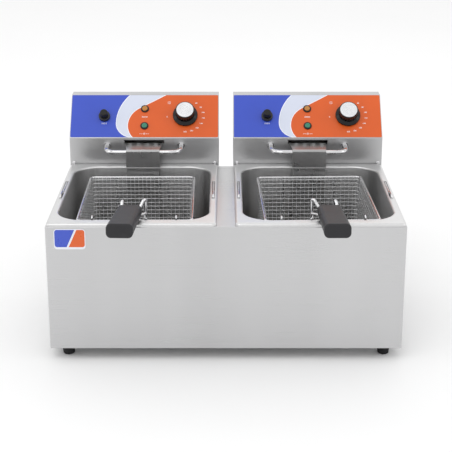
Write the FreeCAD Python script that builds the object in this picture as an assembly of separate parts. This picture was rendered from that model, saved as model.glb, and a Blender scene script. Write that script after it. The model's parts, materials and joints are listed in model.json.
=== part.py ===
import FreeCAD, Part
import math
import os

from FreeCAD import Placement, Rotation, Vector

# Electric counter-top deep fryer with two lift-out tanks, in millimetres.
# While it is being built, X = 0 is the middle of the cabinet, Y = 0 its front face and Z = 0 the
# worktop. The front faces -Y. Before saving, the whole object is moved along Y so that the origin
# is the middle of its bounding box on the worktop.

# Cabinet
cabinet_width = 560.0
cabinet_depth = 343.0
cabinet_height = 204.0
sheet = 1.0
cabinet_bend = 2.5
deck_bend = 1.5
deck_skirt = 3.0
deck_front_land = 13.0
seam_gap = 0.5
return_width = 14.0
panel_screw_count = 3

# Feet
foot_height = 20.0
foot_top_radius = 11.0
foot_sole_radius = 9.0
foot_sole_rounding = 2.5
foot_inset_x = 26.0
foot_inset_y = 28.0
foot_stud_radius = 3.0
foot_stud_length = 9.0

# Badge on the front face
badge_width = 49.0
badge_height = 33.0
badge_thickness = 0.8
badge_corner = 5.0
badge_inset_x = 13.5
badge_inset_z = 3.5

# Tanks
tank_gap = 28.0
rim_edge_margin = 1.0
rim_rear_margin = 2.0
rim_height = 5.0
rim_side_land = 13.0
rim_front_land = 19.0
rim_rear_land = 18.0
rim_corner = 8.0
rim_bend = 4.0
opening_corner = 45.0
opening_bend = 3.0
tank_depth = 150.0
tank_floor_bend = 12.0
tank_side_clearance = 2.0
ledge_clearance = 0.5

# Lifting bails in the tank rims
bail_radius = 2.0
bail_bend = 3.0
bail_side_clearance = 0.5
bail_travel = 26.0
bail_foot = 7.0
bail_rest_gap = 0.3
bail_hump_length = 24.0
bail_hump_rise = 5.5
groove_length = 100.0
groove_depth = 4.0
groove_offset_y = 9.5

# Control heads
head_side_overhang = 1.0
head_wall_gap = 1.0
head_depth = 86.0
head_height = 117.0
panel_low = 52.0
panel_run = 61.0
head_bend = 3.0
head_edge = 0.8
head_return = 12.0
vent_count = 9
vent_width = 4.0
vent_height = 34.0
vent_pitch = 16.0
vent_level = 72.5

# Shelf brackets behind the cabinet
bracket_thickness = 1.5
bracket_side_gap = 33.5
bracket_reach = 80.0
bracket_drop = 62.0
gusset_width = 55.0
pin_radius = 4.0
pin_height = 12.0
pin_clearance = 0.4
pin_side_gap = 53.5
pin_setback = 50.0

# Screws
screw_radius = 2.0
screw_head_radius = 3.3
screw_head_height = 2.2
screw_head_rounding = 1.5
screw_length = 8.0
screw_edge = 7.0
front_screw_level = 6.5

# Sloping control panel; a place on it is (across from the middle, up from its lower edge)
overlay_thickness = 0.4
overlay_margin = 1.2
overlay_corner = 2.0
knob_place = (73.0, 45.0)
reset_place = (-72.5, 43.0)
heat_place = (0.0, 59.0)
power_place = (0.0, 24.0)

# Knob, its shaft and the thermostat behind it
knob_skirt_radius = 22.25
knob_grip_radius = 17.0
knob_gap = 2.0
knob_skirt_height = 3.0
knob_height = 20.0
knob_flutes = 24
knob_flute_radius = 1.2
cap_radius = 15.25
cap_thickness = 1.4
cap_recess = 0.8
shaft_radius = 3.0
shaft_clearance = 0.05
shaft_engagement = 12.0
thermostat_radius = 20.0
thermostat_depth = 26.0
bush_radius = 5.0

# Reset button and the over-temperature cut-out behind it
cutout_radius = 14.0
cutout_depth = 25.0
reset_nut_radius = 10.25
reset_nut_height = 5.6
reset_stem_radius = 6.2
reset_cap_radius = 7.0
reset_cap_height = 8.5
reset_cap_rounding = 2.8
reset_travel = 3.0
reset_clearance = 0.4

# Indicator lamps
lamp_bezel_radius = 7.25
lamp_bezel_height = 2.2
lamp_bezel_rounding = 0.9
lamp_body_radius = 5.9
lamp_body_depth = 14.0
lens_radius = 5.0
lens_depth = 4.0
lens_rise = 1.4
lens_rounding = 1.3

# Basket hanger bar
bar_radius = 4.0
bar_half_width = 66.25
bar_bend = 20.0
bar_front_reach = 40.0
bar_front_level = 36.0
bar_root_level = 38.0
bar_tail = 8.0
bar_washer_radius = 6.5
bar_washer_height = 3.0

# Guard and shroud over the element's risers
guard_half_width = 29.5
guard_flare = 4.0
guard_bend = 4.0
guard_low_level = 8.0
guard_return = 10.0
guard_bead = 1.0
guard_bar_gap = 1.0
guard_lip = 8.0
guard_slot_side_gap = 2.0
guard_slot_rise = 6.0
shroud_gap = 0.1
shroud_lap = 5.0
shroud_return = 12.0
shroud_floor_gap = 33.0
shroud_tie_level = 24.0

# Heating element
element_radius = 4.0
element_exit_level = 15.0
element_tail = 17.0
element_inner_run = 18.0
element_side_gap = 29.5
element_floor_gap = 14.0
element_front_gap = 25.0
element_turn_front_gap = 17.0
element_turn_rear_gap = 8.0
element_knee = 14.0

# Thermostat and cut-out bulbs with their capillary tubes
capillary_radius = 1.0
capillary_bend = 5.0
capillary_half_spacing = 8.0
capillary_wall_gap = 9.0
capillary_drop = 15.0
bulb_radius = 3.5
bulb_length = 90.0
bulb_rear_gap = 34.0

# Electrical parts on the floor of each head
terminal_size = (30.0, 26.0, 20.0)
terminal_place = (30.0, 14.0)
terminal_poles = 3
switch_size = (28.0, 12.0, 18.0)
switch_place = (-60.0, 18.0)
gland_radius = 8.0
gland_nut_radius = 11.0
gland_nut_length = 12.0
gland_bore_radius = 4.5
gland_length = 30.0
gland_side_gap = 38.5
gland_level = 22.0

# Baskets
basket_side_gap = 26.5
basket_front_gap = 22.0
basket_rear_gap = 33.0
basket_rim_drop = 5.0
basket_rest_gap = 0.3
basket_yaws = {"left": 0.5, "right": 1.7}
basket_offsets = {"left": 1.0, "right": 2.9}
basket_corner = 7.0
basket_floor_bend = 6.0
rim_wire_radius = 2.0
band_wire_radius = 1.5
band_wire_drop = 4.8
stay_wire_radius = 1.5
stay_side_gap = 44.0
mesh_thickness = 1.6

# Basket handles
rod_radius = 2.5
rod_half_spacing = 18.0
rod_grip_half_spacing = 13.5
rod_apex_level = 34.0
rod_jog = 4.0
rod_jog_rise = 4.0
rod_bend = 3.0
brace_radius = 1.8
brace_half_spacing = 19.0
brace_level = 8.0
brace_bend = 4.0
hook_side_gap = 23.0
hook_radius = 1.5
hook_rise = 9.0
hook_reach = 8.0
grip_length = 140.0
grip_start = 7.0
grip_rear_width = 38.0
grip_front_width = 40.0
grip_shifts = {"left": -5.9, "right": 8.4}
grip_skews = {"left": 2.7, "right": 1.1}
grip_rear_height = 19.0
grip_front_height = 22.0
grip_top_level = 25.0
grip_rise_angle = 6.0
grip_rounding = 7.5
grip_end_rounding = 3.0

# Places worked out from the sizes above
cabinet_half = cabinet_width / 2
deck_z = foot_height + cabinet_height
rim_half = (cabinet_half - rim_edge_margin - tank_gap / 2) / 2
module_x = tank_gap / 2 + rim_half
modules = {"left": -module_x, "right": module_x}
rim_front = rim_edge_margin
rim_rear = cabinet_depth - rim_rear_margin
rim_top = deck_z + rim_height
opening_half = rim_half - rim_side_land
opening_front = rim_front + rim_front_land
opening_rear = rim_rear - rim_rear_land
tank_floor = rim_top - tank_depth
deck_seam = opening_rear + sheet + tank_side_clearance
well_half = rim_half - sheet - ledge_clearance
skirt_z = deck_z - deck_skirt
bail_x = (opening_half + opening_bend + rim_half - rim_bend) / 2
groove_half_width = bail_radius + bail_side_clearance
groove_floor = rim_top - groove_depth
groove_middle = (opening_front + opening_rear) / 2 + groove_offset_y
head_half = rim_half + head_side_overhang
bracket_half_width = head_half - bracket_side_gap
pin_half_spacing = head_half - pin_side_gap
gland_across = head_half - gland_side_gap
head_front = cabinet_depth + head_wall_gap
head_rear = head_front + head_depth
head_top = deck_z + head_height
panel_angle = math.degrees(math.atan2(head_height - panel_low, panel_run))
panel_cos = math.cos(math.radians(panel_angle))
panel_sin = math.sin(math.radians(panel_angle))
panel_length = math.hypot(head_height - panel_low, panel_run)
element_z = tank_floor + element_floor_gap
riser_y = head_front - bar_front_reach + element_radius / 2
bar_front_y = head_front - bar_front_reach
guard_face_y = bar_front_y - bar_radius - guard_bar_gap - sheet
guard_top = deck_z + bar_front_level + bar_radius + guard_bar_gap + sheet
shroud_half = guard_half_width - sheet - shroud_gap
basket_half_x = opening_half - basket_side_gap
basket_half_y = (opening_rear - opening_front - basket_front_gap - basket_rear_gap) / 2
basket_middle_y = opening_front + basket_front_gap + basket_half_y
basket_rim_z = deck_z - basket_rim_drop
basket_base_z = element_z + element_radius + basket_rest_gap
mesh_half_x = basket_half_x - 2 * rim_wire_radius
mesh_half_y = basket_half_y - 2 * rim_wire_radius
hook_half_spacing = mesh_half_x - hook_side_gap
stay_half_spacing = mesh_half_x - stay_side_gap


def box(x_limits, y_limits, z_limits):
    """Block between three pairs of limits."""
    low = Vector(x_limits[0], y_limits[0], z_limits[0])
    size = Vector(x_limits[1], y_limits[1], z_limits[1]) - low
    return Part.makeBox(size.x, size.y, size.z, low)


def disc(radius, low, high):
    """Upright cylinder on the Z axis between two levels."""
    return Part.makeCylinder(radius, high - low, Vector(0, 0, low))


def bar(start, end, radius):
    """Straight round bar between two points."""
    run = Vector(*end) - Vector(*start)
    return Part.makeCylinder(radius, run.Length, Vector(*start), run)


def edges_level(solid, z):
    """Edges of a solid that lie flat at one level."""
    found = []
    for edge in solid.Edges:
        limits = edge.BoundBox
        if abs(limits.ZMin - z) < 0.01 and abs(limits.ZMax - z) < 0.01:
            found.append(edge)
    return found


def upright_edges(solid):
    """Straight edges of a solid that run along Z."""
    return [e for e in solid.Edges if e.BoundBox.XLength < 0.01 and e.BoundBox.YLength < 0.01]


def rounded_block(x_limits, y_limits, z_limits, corner):
    """Block whose four upright edges are rounded."""
    solid = box(x_limits, y_limits, z_limits)
    return solid.makeFillet(corner, upright_edges(solid))


def slot_block(x, y, half_width, length, z_limits):
    """Upright slug with round ends, centred on (x, y) and long in Y."""
    middle = length / 2 - half_width
    solid = box((x - half_width, x + half_width), (y - middle, y + middle), z_limits)
    for end in (y - middle, y + middle):
        solid = solid.fuse(disc(half_width, *z_limits).translated(Vector(x, end, 0)))
    return solid.removeSplitter()


def bent_rod(points, radius, bend, closed=False):
    """Round rod along straight runs that are joined by arcs of one radius."""
    points = [Vector(*p) for p in points]
    count = len(points)
    corners = range(count) if closed else range(1, count - 1)
    run_ends = {i: (points[i], points[i]) for i in range(count)}
    pieces = []
    for i in corners:
        back = (points[i - 1] - points[i]).normalize()
        ahead = (points[(i + 1) % count] - points[i]).normalize()
        half_angle = back.getAngle(ahead) / 2
        reach = bend / math.tan(half_angle)
        first = points[i] + back * reach
        last = points[i] + ahead * reach
        centre = points[i] + (back + ahead).normalize() * (bend / math.sin(half_angle))
        axis = (first - centre).cross(last - centre)
        face = Part.Face(Part.Wire(Part.makeCircle(radius, first, back)))
        turn = 180 - 2 * math.degrees(half_angle)
        pieces.append(face.revolve(centre, axis, turn))
        run_ends[i] = (first, last)
    for i in range(count if closed else count - 1):
        start = run_ends[i][1]
        run = run_ends[(i + 1) % count][0] - start
        if run.Length > 0.001:
            pieces.append(Part.makeCylinder(radius, run.Length, start, run))
    return pieces[0].multiFuse(pieces[1:]).removeSplitter()


def screw(at, outwards):
    """Round-headed screw whose head stands on a face at a point."""
    head = disc(screw_head_radius, 0, screw_head_height)
    head = head.makeFillet(screw_head_rounding, edges_level(head, screw_head_height))
    solid = head.fuse(disc(screw_radius, -screw_length, 0)).removeSplitter()
    solid.Placement = Placement(Vector(*at), Rotation(Vector(0, 0, 1), Vector(*outwards)))
    return solid


def screw_hole(at, outwards):
    """Slug that cuts the hole for a screw's shank."""
    run = Vector(*outwards).normalize() * screw_length
    return bar(Vector(*at) - run, Vector(*at) + run, screw_radius)


def panel_point(up, out):
    """Y and Z of a point on the sloping panel, at a height up it and a distance out of it."""
    y = head_front + up * panel_cos - out * panel_sin
    z = deck_z + panel_low + up * panel_sin + out * panel_cos
    return y, z


def on_panel(solid, place):
    """Stand a solid, made upright at the origin, on the sloping panel of a head at X = 0."""
    y, z = panel_point(place[1], 0)
    placed = solid.copy()
    placed.Placement = Placement(Vector(place[0], y, z), Rotation(Vector(1, 0, 0), panel_angle))
    return placed


def cut_all(solid, tools):
    """Take several tools away from a solid."""
    return solid.cut(Part.makeCompound(tools))


# Cabinet ---------------------------------------------------------------------------------------

def rear_screw_places():
    """Screws that hold the rear panel to the casing's returns."""
    places = []
    for x in (-cabinet_half + screw_edge, cabinet_half - screw_edge):
        for step in range(panel_screw_count):
            share = (step + 0.5) / panel_screw_count
            places.append((x, cabinet_depth, foot_height + share * (cabinet_height - deck_skirt)))
    return places


def bracket_screw_places():
    """Screws that hold the two shelf brackets to the rear panel."""
    y = cabinet_depth + bracket_thickness
    z = deck_z - bracket_drop / 2
    return [(x + dx, y, z) for x in modules.values() for dx in (-gusset_width, gusset_width)]


def foot_places():
    """Middles of the four feet."""
    xs = (-cabinet_half + foot_inset_x, cabinet_half - foot_inset_x)
    ys = (foot_inset_y, cabinet_depth - foot_inset_y)
    return [(x, y) for x in xs for y in ys]


def casing_wrap():
    """Front and both sides in one folded sheet, with a return along each rear edge."""
    rear = cabinet_depth - sheet
    solid = box((-cabinet_half, cabinet_half), (0, rear), (foot_height, skirt_z))
    front_corners = [e for e in upright_edges(solid) if e.BoundBox.YMax < sheet]
    solid = solid.makeFillet(cabinet_bend, front_corners)
    inner = cabinet_half - sheet
    solid = solid.cut(box((-inner, inner), (sheet, rear), (foot_height, skirt_z)))
    for low, high in ((-inner, return_width - inner), (inner - return_width, inner)):
        solid = solid.fuse(box((low, high), (rear - sheet, rear), (foot_height, skirt_z)))
    holes = [screw_hole(at, (0, 1, 0)) for at in rear_screw_places()]
    return cut_all(solid.removeSplitter(), holes)


def top_tray(y_limits, rounded_side):
    """Top sheet with turned-down edges, open underneath."""
    z_limits = (skirt_z, deck_z)
    solid = box((-cabinet_half, cabinet_half), y_limits, z_limits)
    uprights = [e for e in upright_edges(solid) if abs(e.BoundBox.YMax - rounded_side) < sheet]
    solid = solid.makeFillet(cabinet_bend, uprights)
    open_side = y_limits[0] + y_limits[1] - rounded_side
    rims = []
    for edge in edges_level(solid, deck_z):
        limits = edge.BoundBox
        if abs(limits.YMin - open_side) > 0.01 or limits.YLength > 0.01:
            rims.append(edge)
    return solid.makeFillet(deck_bend, rims)


def deck():
    """Top sheet, notched from behind for the two tanks."""
    rear = deck_seam - seam_gap
    solid = top_tray((0, rear), 0)
    inner = cabinet_half - sheet
    tools = [box((-inner, inner), (sheet, rear), (skirt_z, deck_z - sheet))]
    for x in modules.values():
        tools.append(box((x - well_half, x + well_half), (deck_front_land, rear), (skirt_z, deck_z)))
    for tool in tools:
        solid = solid.cut(tool)
    return solid


def rear_panel():
    """Back of the cabinet, turned forwards at its top to close the deck behind the tanks."""
    face = cabinet_depth - sheet
    inner = cabinet_half - sheet
    solid = top_tray((deck_seam, cabinet_depth), cabinet_depth)
    solid = solid.cut(box((-inner, inner), (deck_seam, face), (skirt_z, deck_z - sheet)))
    half = cabinet_half - cabinet_bend
    solid = solid.fuse(box((-half, half), (face, cabinet_depth), (foot_height, deck_z - sheet)))
    edge = box((-cabinet_half, cabinet_half), (face, cabinet_depth), (foot_height, skirt_z))
    solid = solid.fuse(edge).removeSplitter()
    places = rear_screw_places() + bracket_screw_places()
    return cut_all(solid, [screw_hole(at, (0, 1, 0)) for at in places])


def base_plate():
    """Floor of the cabinet, with a hole for each foot's stud and two rows of vents."""
    inner = cabinet_half - sheet
    z_limits = (foot_height, foot_height + sheet)
    solid = box((-inner, inner), (sheet, cabinet_depth - 2 * sheet), z_limits)
    tools = []
    for x, y in foot_places():
        tools.append(disc(foot_stud_radius, *z_limits).translated(Vector(x, y, 0)))
    for x in modules.values():
        for step in range(-2, 3):
            place = x + step * vent_pitch
            tools.append(slot_block(place, cabinet_depth / 2, vent_width / 2, vent_height, z_limits))
    return cut_all(solid, tools)


def feet():
    """Four tapered rubber feet with a stud up through the base plate."""
    solids = []
    for x, y in foot_places():
        foot = Part.makeCone(foot_sole_radius, foot_top_radius, foot_height)
        foot = foot.makeFillet(foot_sole_rounding, edges_level(foot, 0))
        foot = foot.fuse(disc(foot_stud_radius, foot_height, foot_height + foot_stud_length))
        solids.append(foot.removeSplitter().translated(Vector(x, y, 0)))
    return Part.makeCompound(solids)


def cabinet_screws():
    """Screws of the rear panel and the shelf brackets."""
    places = rear_screw_places() + bracket_screw_places()
    return Part.makeCompound([screw(at, (0, 1, 0)) for at in places])


def head_brackets():
    """Two gusseted shelves that carry the control heads, each with two locating pins."""
    wall = (cabinet_depth, cabinet_depth + bracket_thickness)
    shelf = (deck_z - bracket_thickness, deck_z)
    solids = []
    for x in modules.values():
        width = (x - bracket_half_width, x + bracket_half_width)
        solid = box(width, wall, (deck_z - bracket_drop, deck_z))
        solid = solid.fuse(box(width, (cabinet_depth, cabinet_depth + bracket_reach), shelf))
        corner = Vector(0, cabinet_depth + bracket_thickness, shelf[0])
        outline = [corner, corner + Vector(0, gusset_width, 0), corner + Vector(0, 0, -gusset_width)]
        for side in (x - bracket_half_width, x + bracket_half_width - bracket_thickness):
            gusset = Part.Face(Part.makePolygon(outline + outline[:1]))
            gusset = gusset.extrude(Vector(bracket_thickness, 0, 0))
            solid = solid.fuse(gusset.translated(Vector(side, 0, 0)))
        for pin_x in (x - pin_half_spacing, x + pin_half_spacing):
            pin = disc(pin_radius, shelf[0], deck_z + pin_height)
            pin = pin.makeChamfer(sheet, edges_level(pin, deck_z + pin_height))
            solid = solid.fuse(pin.translated(Vector(pin_x, head_front + pin_setback, 0)))
        solids.append(solid.removeSplitter())
    holes = [screw_hole(at, (0, 1, 0)) for at in bracket_screw_places()]
    return cut_all(Part.makeCompound(solids), holes)


def badge():
    """Plain rounded plate on the front face."""
    left = -cabinet_half + badge_inset_x
    top = deck_z - badge_inset_z
    solid = box((left, left + badge_width), (-badge_thickness, 0), (top - badge_height, top))
    return solid.makeFillet(badge_corner, [e for e in solid.Edges if e.BoundBox.YLength > 0.01])


# Tank and its bails, made at X = 0 --------------------------------------------------------------

def tank_form(inset):
    """Everything under the tank's sheet, taken a distance below its upper face."""
    top = rim_top - inset
    y_limits = (rim_front + inset, rim_rear - inset)
    x_limits = (inset - rim_half, rim_half - inset)
    land = rounded_block(x_limits, y_limits, (tank_floor - 2 * tank_floor_bend, top), rim_corner - inset)
    land = land.makeFillet(rim_bend - inset, edges_level(land, top))
    x_limits = (-opening_half - inset, opening_half + inset)
    y_limits = (opening_front - inset, opening_rear + inset)
    well = rounded_block(x_limits, y_limits, (tank_floor - inset, top), opening_corner + inset)
    well = well.makeFillet(tank_floor_bend + inset, edges_level(well, tank_floor - inset))
    form = land.cut(well)
    inner = []
    for edge in edges_level(form, top):
        if abs(edge.CenterOfMass.x) < opening_half + 2 * inset:
            if opening_front - 2 * inset < edge.CenterOfMass.y + 0.1:
                if edge.CenterOfMass.y - 0.1 < opening_rear + 2 * inset:
                    inner.append(edge)
    return form.makeFillet(opening_bend - inset, inner)


def tank():
    """Drawn tank with a raised rim, and a groove each side for a lifting bail."""
    solid = tank_form(0).cut(tank_form(sheet))
    around = opening_half + 2 * sheet
    below = box((-around, around), (opening_front - 2 * sheet, opening_rear + 2 * sheet),
                (tank_floor - 2 * sheet, deck_z))
    above = box((-rim_half, rim_half), (rim_front, rim_rear), (deck_z, rim_top))
    solid = solid.common(above.fuse(below))
    for x in (-bail_x, bail_x):
        walls = slot_block(x, groove_middle, groove_half_width + sheet, groove_length + 2 * sheet,
                           (groove_floor - sheet, rim_top - sheet / 2))
        groove = slot_block(x, groove_middle, groove_half_width, groove_length,
                            (groove_floor, rim_top))
        solid = solid.fuse(walls).cut(groove)
        for end in (-1, 1):
            y = groove_middle + end * (groove_length / 2 - groove_half_width)
            hole = disc(groove_half_width, groove_floor - sheet, groove_floor)
            solid = solid.cut(hole.translated(Vector(x, y, 0)))
    return solid.removeSplitter()


def bail(x):
    """Wire handle that lies in a rim groove with its front end raised, and pulls up."""
    front = groove_middle - groove_length / 2 + groove_half_width
    rear = groove_middle + groove_length / 2 - groove_half_width
    run_z = groove_floor + bail_radius + bail_rest_gap
    hump_z = run_z + bail_hump_rise
    foot_z = groove_floor - sheet - bail_travel - bail_side_clearance - bail_radius
    outline = [(front - bail_foot, foot_z), (front, foot_z), (front, hump_z),
               (front + bail_hump_length, hump_z), (front + bail_hump_length + bail_hump_rise, run_z),
               (rear, run_z), (rear, foot_z), (rear + bail_foot, foot_z)]
    return bent_rod([(x, y, z) for y, z in outline], bail_radius, bail_bend)


# Control head and what it carries, made at X = 0 -------------------------------------------------

def head_shell():
    """Folded hood: front wall, sloping panel, top and both sides, open behind and below."""
    rear = head_rear - sheet
    side = head_half - sheet

    def prism(points, half):
        outline = [Vector(-half, y, z) for y, z in points]
        return Part.Face(Part.makePolygon(outline + outline[:1])).extrude(Vector(2 * half, 0, 0))

    outer = prism([(head_front, deck_z), panel_point(0, 0), panel_point(panel_length, 0),
                   (rear, head_top), (rear, deck_z)], head_half)
    bends = []
    for edge in outer.Edges:
        middle = edge.CenterOfMass
        for y, z in (panel_point(0, 0), panel_point(panel_length, 0)):
            if abs(middle.y - y) < 0.01 and abs(middle.z - z) < 0.01:
                bends.append(edge)
    outer = outer.makeFillet(head_bend, bends)
    sides = []
    for edge in outer.Edges:
        limits = edge.BoundBox
        if limits.XLength < 0.01 and limits.ZMax > deck_z + 0.01 and limits.YMin < rear - 0.01:
            sides.append(edge)
    outer = outer.makeFillet(head_edge, sides)
    up_low = sheet * (1 - panel_sin) / panel_cos
    up_high = (head_height - panel_low - sheet + sheet * panel_cos) / panel_sin
    inner = prism([(head_front + sheet, deck_z), panel_point(up_low, -sheet),
                   panel_point(up_high, -sheet), (rear, head_top - sheet), (rear, deck_z)], side)
    solid = outer.cut(inner)
    flange = (rear - sheet, rear)
    low = deck_z + 2 * sheet
    for x_limits in ((-side, head_return - side), (side - head_return, side)):
        solid = solid.fuse(box(x_limits, flange, (low, head_top - sheet)))
    solid = solid.fuse(box((-side, side), flange, (head_top - head_return, head_top - sheet)))
    solid = solid.removeSplitter()
    holes = [screw_hole(at, (0, 1, 0)) for at in cover_screw_places()]
    holes += [screw_hole(at, (0, -1, 0)) for at in front_screw_places()]
    wall = (head_front - sheet, head_front + 2 * sheet)
    for sign in (-1, 1):
        for x, z, radius in ((bar_half_width, bar_root_level, bar_radius),
                             (element_inner_run, element_exit_level, element_radius),
                             (capillary_half_spacing, element_exit_level, capillary_radius)):
            holes.append(bar((sign * x, wall[0], deck_z + z), (sign * x, wall[1], deck_z + z), radius))
    holes.append(guard_slot())
    return cut_all(cut_all(solid, holes), panel_holes())


def panel_holes():
    """Slugs for the fittings that pass through the sloping panel."""
    low, high = -2 * sheet, 2 * sheet
    holes = [on_panel(disc(bush_radius, low, high), knob_place)]
    holes.append(on_panel(disc(reset_stem_radius + reset_clearance + sheet, low, high), reset_place))
    for place in (heat_place, power_place):
        holes.append(on_panel(disc(lamp_body_radius, low, high), place))
    return holes


def cover_screw_places():
    """Screws round the rear cover of a head."""
    side = head_half - screw_edge
    levels = (deck_z + 3 * screw_edge, (deck_z + head_top) / 2 + screw_edge, head_top - screw_edge)
    return [(x, head_rear, z) for x in (-side, side) for z in levels]


def front_screw_places():
    """Screws low down at both ends of a head's front wall."""
    side = head_half - screw_edge
    return [(x, head_front, deck_z + front_screw_level) for x in (-side, side)]


def head_rear_cover():
    """Back of a head with a row of vents, and the floor folded from it."""
    inner = head_half - sheet
    back = (head_rear - sheet, head_rear)
    solid = box((-head_half, head_half), back, (deck_z, head_top))
    floor = box((-inner, inner), (head_front + sheet, back[0]), (deck_z, deck_z + sheet))
    solid = solid.fuse(floor).removeSplitter()
    tools = [screw_hole(at, (0, 1, 0)) for at in cover_screw_places()]
    middle = (vent_count - 1) / 2
    level = deck_z + vent_level
    for step in range(vent_count):
        x = (step - middle) * vent_pitch
        low, high = level - vent_height / 2, level + vent_height / 2
        tools.append(box((x - vent_width / 2, x + vent_width / 2), back, (low, high)))
    for x in (-pin_half_spacing, pin_half_spacing):
        hole = disc(pin_radius + pin_clearance, deck_z, deck_z + sheet)
        tools.append(hole.translated(Vector(x, head_front + pin_setback, 0)))
    gland_z = deck_z + gland_level
    tools.append(bar((gland_across, back[0], gland_z), (gland_across, head_rear, gland_z), gland_radius))
    return cut_all(solid, tools)


def panel_overlay():
    """Thin printed label that covers the sloping panel."""
    half = head_half - overlay_margin
    solid = rounded_block((-half, half), (overlay_margin, panel_length - overlay_margin),
                          (0, overlay_thickness), overlay_corner)
    return cut_all(on_panel(solid, (0, 0)), panel_holes())


def lamp_bezels():
    """Bezel and barrel of both indicator lamps."""
    solids = []
    top = overlay_thickness + lamp_bezel_height
    for place in (heat_place, power_place):
        ring = disc(lamp_bezel_radius, overlay_thickness, top)
        ring = ring.makeFillet(lamp_bezel_rounding, edges_level(ring, top))
        ring = ring.fuse(disc(lamp_body_radius, -lamp_body_depth, overlay_thickness))
        ring = ring.removeSplitter().cut(disc(lens_radius, top - lens_depth, top))
        solids.append(on_panel(ring, place))
    return Part.makeCompound(solids)


def lamp_lens(place):
    """Domed lens that fills a lamp's bezel."""
    low = overlay_thickness + lamp_bezel_height - lens_depth
    high = low + lens_depth + lens_rise
    solid = disc(lens_radius, low, high)
    return on_panel(solid.makeFillet(lens_rounding, edges_level(solid, high)), place)


def hanger_bar():
    """Bent rod across the front of the head, with a washer and a nut where it is fixed."""
    root = deck_z + bar_root_level
    front = deck_z + bar_front_level
    tail = head_front + sheet + bar_tail
    x = bar_half_width
    solid = bent_rod([(-x, tail, root), (-x, head_front - 2 * bar_washer_height, root),
                      (-x, bar_front_y, front), (x, bar_front_y, front),
                      (x, head_front - 2 * bar_washer_height, root), (x, tail, root)],
                     bar_radius, bar_bend)
    for side in (-x, x):
        for low, high in ((head_front - bar_washer_height, head_front),
                          (head_front + sheet, head_front + sheet + bar_radius)):
            solid = solid.fuse(bar((side, low, root), (side, high, root), bar_washer_radius))
    return solid.removeSplitter()


def element_guard():
    """Bent cover over the bar and the element's risers, hooked into the head's front wall."""
    half = guard_half_width
    low = deck_z + guard_low_level
    outer = box((-half, half), (guard_face_y, head_front), (low, guard_top))
    nose = [e for e in outer.Edges if e.BoundBox.XLength > half
            and e.BoundBox.YMax < guard_face_y + 0.01 and e.BoundBox.ZMin > guard_top - 0.01]
    outer = outer.makeFillet(guard_bend, nose)
    inner = box((-half, half), (guard_face_y + sheet, head_front), (low, guard_top - sheet))
    nose = [e for e in inner.Edges if e.BoundBox.XLength > half
            and e.BoundBox.YMax < guard_face_y + sheet + 0.01
            and e.BoundBox.ZMin > guard_top - sheet - 0.01]
    inner = inner.makeFillet(guard_bend - sheet, nose)
    solid = outer.cut(inner)
    start = guard_face_y + 2 * guard_bend
    for sign in (-1, 1):
        corners = [(half, start), (half + guard_flare, head_front), (half, head_front)]
        outline = [Vector(sign * x, y, guard_top - sheet) for x, y in corners]
        flare = Part.Face(Part.makePolygon(outline + outline[:1])).extrude(Vector(0, 0, sheet))
        solid = solid.fuse(flare)
        side = sorted((sign * half, sign * (half - sheet)))
        top = deck_z + bar_front_level - bar_radius - guard_bar_gap
        flange = (guard_face_y + sheet, guard_face_y + sheet + guard_return)
        solid = solid.fuse(box(side, flange, (low, top)))
    bead_z = low + guard_bead
    solid = solid.fuse(bar((-half, guard_face_y, bead_z), (half, guard_face_y, bead_z), guard_bead))
    width = (-half - guard_flare, half + guard_flare)
    behind = head_front + sheet
    tongue = box(width, (head_front, behind + sheet), (guard_top - sheet, guard_top))
    lip = box(width, (behind, behind + sheet), (guard_top - sheet - guard_lip, guard_top))
    return solid.fuse(tongue).fuse(lip).removeSplitter()


def guard_slot():
    """Slug for the slot in a head's front wall that the guard's lip hooks into."""
    half = guard_half_width + guard_flare + guard_slot_side_gap
    return box((-half, half), (head_front - sheet, head_front + 2 * sheet),
               (guard_top - sheet, guard_top + guard_slot_rise))


def element_shroud():
    """Channel that hides the risers inside the tank, tied back to the head's front wall."""
    front = guard_face_y + sheet + guard_bar_gap
    top = deck_z + guard_low_level + shroud_lap
    low = tank_floor + shroud_floor_gap
    half = shroud_half
    solid = box((-half, half), (front, front + sheet), (low, top))
    for x_limits in ((-half, sheet - half), (half - sheet, half)):
        solid = solid.fuse(box(x_limits, (front, front + shroud_return), (low, top)))
    tie = deck_z + shroud_tie_level
    for x_limits in ((-half, 3 * sheet - half), (half - 3 * sheet, half)):
        solid = solid.fuse(box(x_limits, (front, front + sheet), (low, tie)))
        solid = solid.fuse(box(x_limits, (front, head_front), (tie - sheet, tie)))
    return solid.removeSplitter()


def heating_element():
    """One sheathed tube: out of the head, down into the tank, six runs over its floor and back."""
    outer_run = opening_half - element_side_gap
    pitch = (outer_run - element_inner_run) / 2
    middle_run = element_inner_run + pitch
    exit_z = deck_z + element_exit_level
    tail = head_front + element_tail
    front = opening_front + element_front_gap
    turn_front = front + element_turn_front_gap
    turn_rear = riser_y - element_turn_rear_gap
    half = [(element_inner_run, tail, exit_z), (element_inner_run, riser_y, exit_z),
            (element_inner_run, riser_y, element_z), (element_inner_run, turn_front, element_z),
            (middle_run, turn_front, element_z), (middle_run, turn_rear, element_z),
            (outer_run, turn_rear, element_z), (outer_run, front, element_z)]
    other = [(-x, y, z) for x, y, z in reversed(half)]
    return bent_rod(half + other, element_radius, min(element_knee, pitch / 2))


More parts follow.
